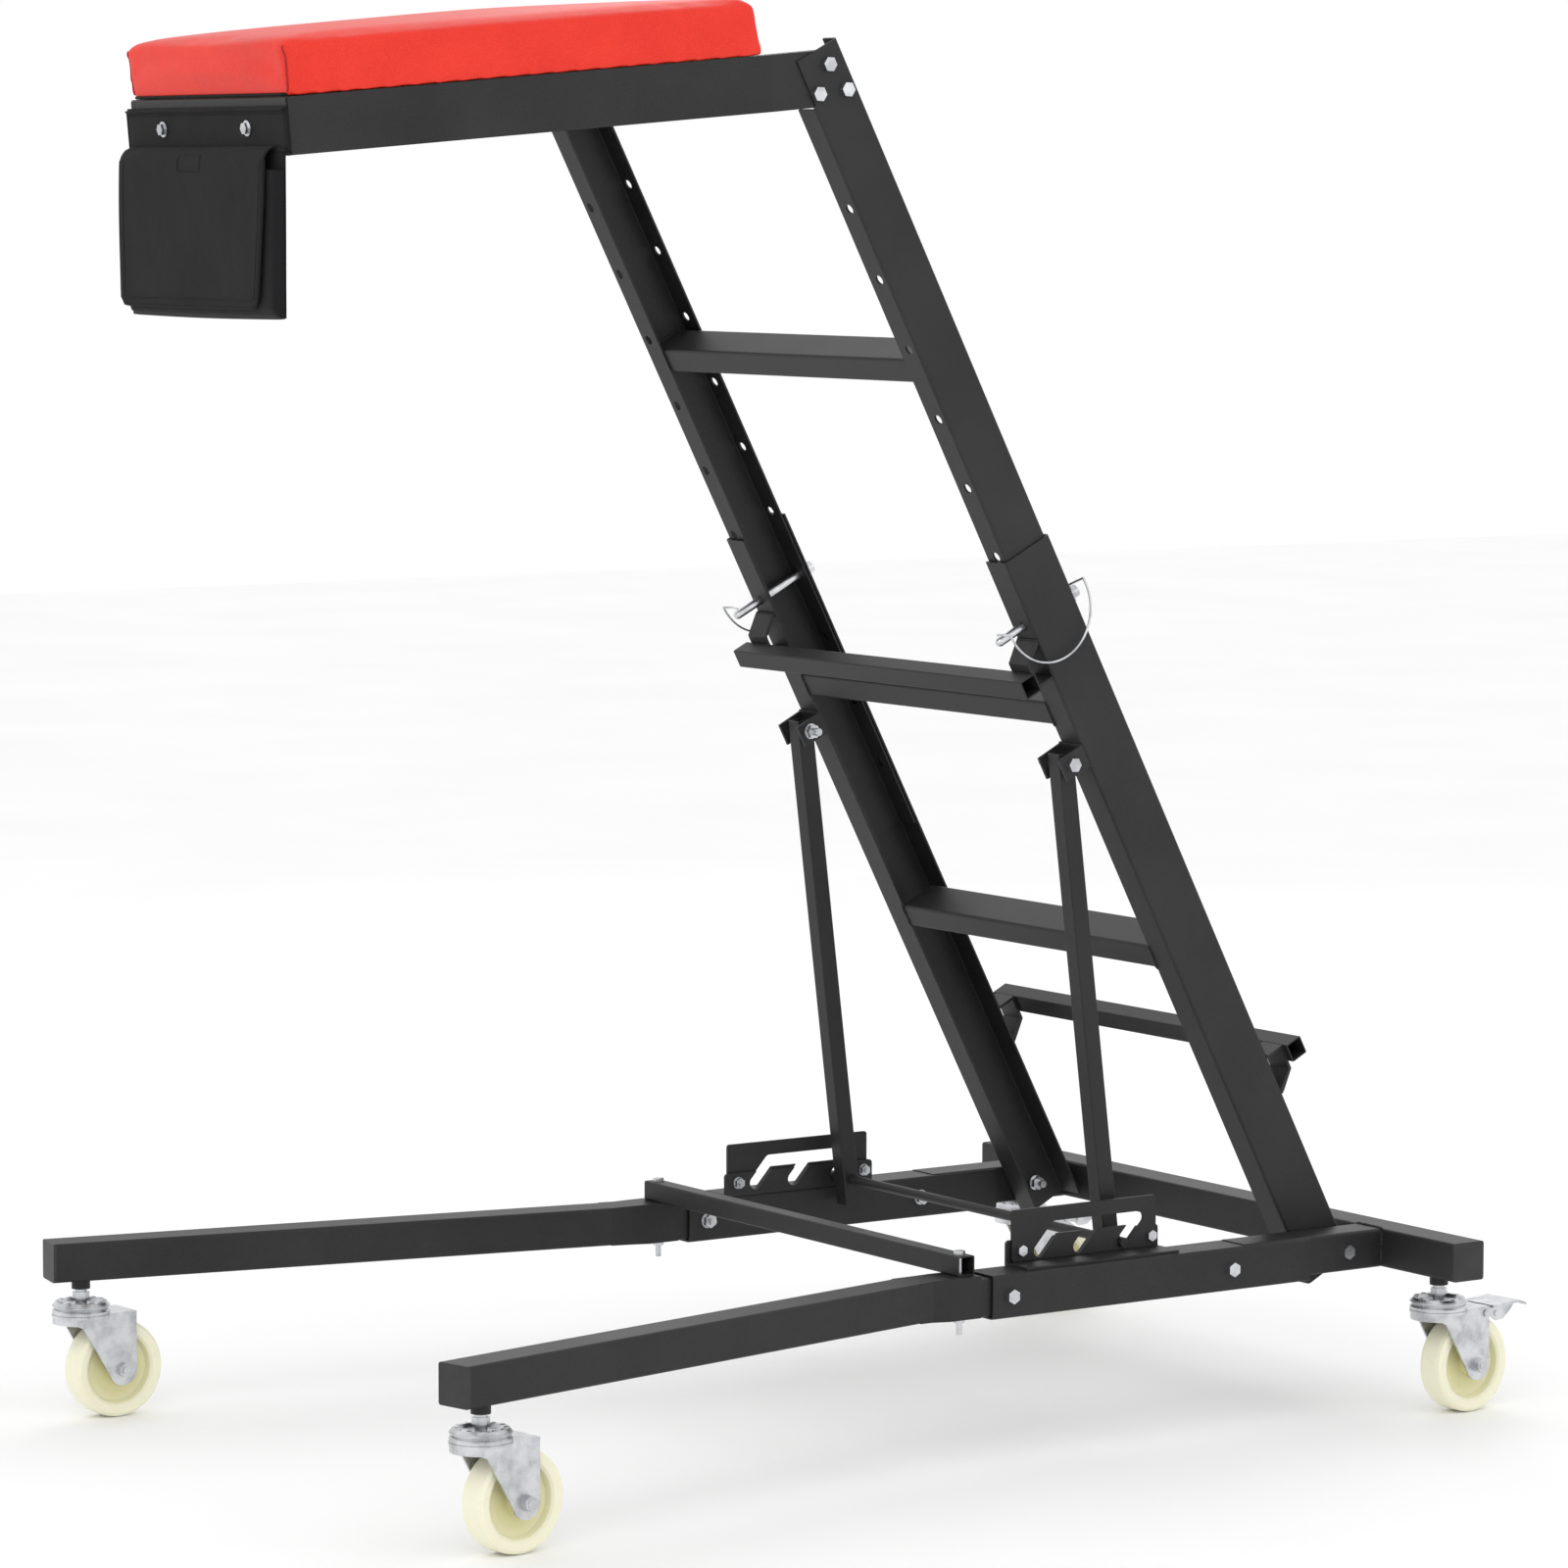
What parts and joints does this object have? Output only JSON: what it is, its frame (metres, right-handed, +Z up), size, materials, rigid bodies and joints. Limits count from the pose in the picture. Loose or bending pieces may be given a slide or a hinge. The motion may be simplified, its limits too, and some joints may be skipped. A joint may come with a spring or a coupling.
{
  "type": "topside engine creeper",
  "caption": "Rolling over-engine work platform: leaning telescopic ladder on a castered base carrying a padded deck with a tool bag.",
  "frame": {"origin": "on the floor under the centre of the bounding box", "axes": "+Z up, front (pad end) faces -Y, +X is the object's left"},
  "size_m": [0.8382, 1.3492, 1.4307],
  "materials": {
    "frame_paint": "fine textured powder coat",
    "cap_plastic": "moulded, matte",
    "zinc": "bright zinc plate",
    "nylon": "cast nylon, half gloss",
    "ply": "raw plywood",
    "pad_vinyl": "grained vinyl over foam",
    "bag_cloth": "woven oxford cloth"
  },
  "bodies": {
    "base": {"rear_cross_tube": "frame_paint", "rail_stubs": "frame_paint", "side_rail_l": "frame_paint", "side_rail_r": "frame_paint", "front_leg_l": "frame_paint", "front_leg_r": "frame_paint", "tube_caps": "cap_plastic", "front_cross_tube": "frame_paint", "rail_bolts": "zinc", "small_frame_bolts": "zinc", "lock_plate_l": "frame_paint", "lock_plate_r": "frame_paint", "lock_angle_l": "frame_paint", "lock_angle_r": "frame_paint", "ladder_pivot_bolts": "zinc", "caster_bosses": "frame_paint"},
    "lower_ladder": {"lower_stile_l": "frame_paint", "lower_stile_r": "frame_paint", "lower_rungs": "frame_paint", "front_step_bar": "frame_paint", "rear_step_bar": "frame_paint", "step_straps": "frame_paint", "strut_bracket_l": "frame_paint", "strut_bracket_r": "frame_paint", "strut_bolts": "zinc"},
    "strut_frame": {"strut_l": "frame_paint", "strut_r": "frame_paint", "lock_rod": "frame_paint"},
    "upper_ladder": {"upper_stile_l": "frame_paint", "upper_stile_r": "frame_paint", "upper_rung": "frame_paint", "deck_beam_l": "frame_paint", "deck_beam_r": "frame_paint", "deck_front_member": "frame_paint", "deck_rear_member": "frame_paint", "deck_board": "ply", "deck_pad": "pad_vinyl", "deck_bolts": "zinc", "bag_header": "bag_cloth", "bag_pouch": "bag_cloth", "bag_bolts": "zinc"},
    "flap": {"bag_flap": "bag_cloth"},
    "pin_l": {"lock_pin_l": "zinc"},
    "wire_l": {"pin_wire_l": "zinc"},
    "pin_r": {"lock_pin_r": "zinc"},
    "wire_r": {"pin_wire_r": "zinc"},
    "caster_fl": {"caster_fork_fl": "zinc", "caster_axle_fl": "zinc"},
    "wheel_fl": {"caster_wheel_fl": "nylon"},
    "caster_fr": {"caster_fork_fr": "zinc", "caster_axle_fr": "zinc"},
    "wheel_fr": {"caster_wheel_fr": "nylon"},
    "caster_rl": {"caster_fork_rl": "zinc", "caster_axle_rl": "zinc"},
    "wheel_rl": {"caster_wheel_rl": "nylon"},
    "pedal_rl": {"brake_pedal_rl": "zinc"},
    "caster_rr": {"caster_fork_rr": "zinc", "caster_axle_rr": "zinc"},
    "wheel_rr": {"caster_wheel_rr": "nylon"},
    "pedal_rr": {"brake_pedal_rr": "zinc"}
  },
  "joints": [
    {"name": "ladder_tilt", "type": "hinge", "parent": "base", "child": "lower_ladder", "pos_m": [0, 0.5014, 0.165], "axis": [-1, 0, 0], "range_deg": [0, 4.5]},
    {"name": "strut_fold", "type": "hinge", "parent": "lower_ladder", "child": "strut_frame", "pos_m": [0, 0.17812, 0.6799], "axis": [1, 0, 0], "range_deg": [0, 2]},
    {"name": "height_slide", "type": "slide", "parent": "lower_ladder", "child": "upper_ladder", "axis": [0, -0.4617, 0.887], "range_m": [-0.308, 0.154]},
    {"name": "flap_hinge", "type": "hinge", "parent": "upper_ladder", "child": "flap", "pos_m": [0, -0.66154, 1.2882], "axis": [-1, 0, 0], "range_deg": [0, 90]},
    {"name": "pin_pull_l", "type": "slide", "parent": "lower_ladder", "child": "pin_l", "axis": [0, 0.887, 0.4617], "range_m": [0, 0.1]},
    {"name": "wire_swing_l", "type": "hinge", "parent": "pin_l", "child": "wire_l", "pos_m": [0.2325, 0.18741, 0.85047], "axis": [0, -0.4617, 0.887], "range_deg": [0, 82]},
    {"name": "pin_pull_r", "type": "slide", "parent": "lower_ladder", "child": "pin_r", "axis": [0, 0.887, 0.4617], "range_m": [0, 0.1]},
    {"name": "wire_swing_r", "type": "hinge", "parent": "pin_r", "child": "wire_r", "pos_m": [-0.2325, 0.18741, 0.85047], "axis": [0, 0.4617, -0.887], "range_deg": [0, 82]},
    {"name": "swivel_fl", "type": "hinge", "parent": "base", "child": "caster_fl", "pos_m": [0.38914, -0.5998, 0.14], "axis": [0, 0, 1], "continuous": true},
    {"name": "wheel_spin_fl", "type": "hinge", "parent": "caster_fl", "child": "wheel_fl", "pos_m": [0.38463, -0.56308, 0.05], "axis": [0.9925, 0.1219, 0], "continuous": true},
    {"name": "swivel_fr", "type": "hinge", "parent": "base", "child": "caster_fr", "pos_m": [-0.38914, -0.5998, 0.14], "axis": [0, 0, 1], "continuous": true},
    {"name": "wheel_spin_fr", "type": "hinge", "parent": "caster_fr", "child": "wheel_fr", "pos_m": [-0.39043, -0.56282, 0.05], "axis": [0.9994, 0.0349, 0], "continuous": true},
    {"name": "swivel_rl", "type": "hinge", "parent": "base", "child": "caster_rl", "pos_m": [0.36, 0.5669, 0.14], "axis": [0, 0, 1], "continuous": true},
    {"name": "wheel_spin_rl", "type": "hinge", "parent": "caster_rl", "child": "wheel_rl", "pos_m": [0.35678, 0.60376, 0.05], "axis": [0.9962, 0.0872, 0], "continuous": true},
    {"name": "brake_rl", "type": "hinge", "parent": "caster_rl", "child": "pedal_rl", "pos_m": [0.35582, 0.61472, 0.1025], "axis": [-0.9962, -0.0872, 0], "range_deg": [0, 14]},
    {"name": "swivel_rr", "type": "hinge", "parent": "base", "child": "caster_rr", "pos_m": [-0.36, 0.5669, 0.14], "axis": [0, 0, 1], "continuous": true},
    {"name": "wheel_spin_rr", "type": "hinge", "parent": "caster_rr", "child": "wheel_rr", "pos_m": [-0.35613, 0.6037, 0.05], "axis": [0.9945, -0.1045, 0], "continuous": true},
    {"name": "brake_rr", "type": "hinge", "parent": "caster_rr", "child": "pedal_rr", "pos_m": [-0.35498, 0.61464, 0.1025], "axis": [-0.9945, 0.1045, 0], "range_deg": [0, 14]}
  ],
  "couplings": [
    {"joint": "strut_fold", "follows": "ladder_tilt", "ratio": 0.4285},
    {"joint": "wire_swing_l", "follows": "pin_pull_l", "rad_per_m": 14},
    {"joint": "wire_swing_r", "follows": "pin_pull_r", "rad_per_m": 14}
  ]
}
